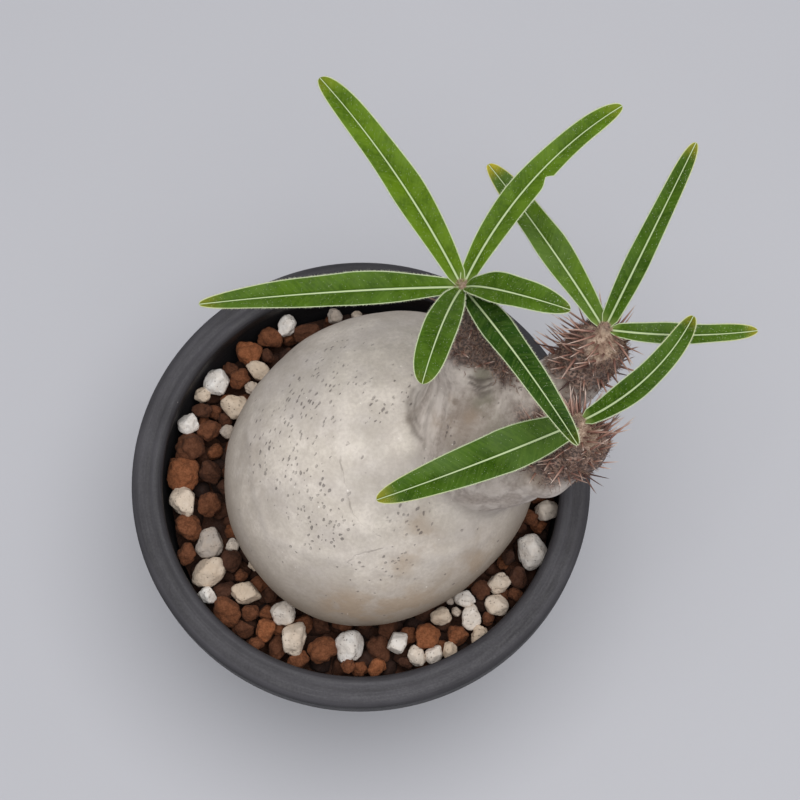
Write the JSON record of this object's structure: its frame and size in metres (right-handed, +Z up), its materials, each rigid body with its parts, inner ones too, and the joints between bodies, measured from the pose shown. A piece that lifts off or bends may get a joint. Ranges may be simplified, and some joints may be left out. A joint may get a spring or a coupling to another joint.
{
  "type": "potted pachypodium",
  "caption": "Caudex plant with a swollen grey stem, three spiny branch heads and narrow leaves, standing in coarse grit in a round black pot.",
  "frame": {"origin": "the pot's axis, on the surface that the pot stands on", "axes": "+Z up along the pot's axis; +X towards the side that the neck and the three heads lean to; +Y away from the picture's viewer"},
  "size_m": [0.1532, 0.132, 0.1748],
  "materials": {
    "pot": "matte",
    "net": "matte",
    "grit": "matte",
    "bark": "matte",
    "leaf": "satin"
  },
  "bodies": {
    "root": {"pot": "pot", "drain_net": "net", "substrate": "grit", "caudex": "bark", "leaf_a1": "leaf", "leaf_a2": "leaf", "leaf_a3": "leaf", "leaf_a4": "leaf", "leaf_a5": "leaf", "leaf_a6": "leaf", "leaf_b1": "leaf", "leaf_b2": "leaf", "leaf_b3": "leaf", "leaf_c1": "leaf", "leaf_c2": "leaf"}
  },
  "joints": []
}
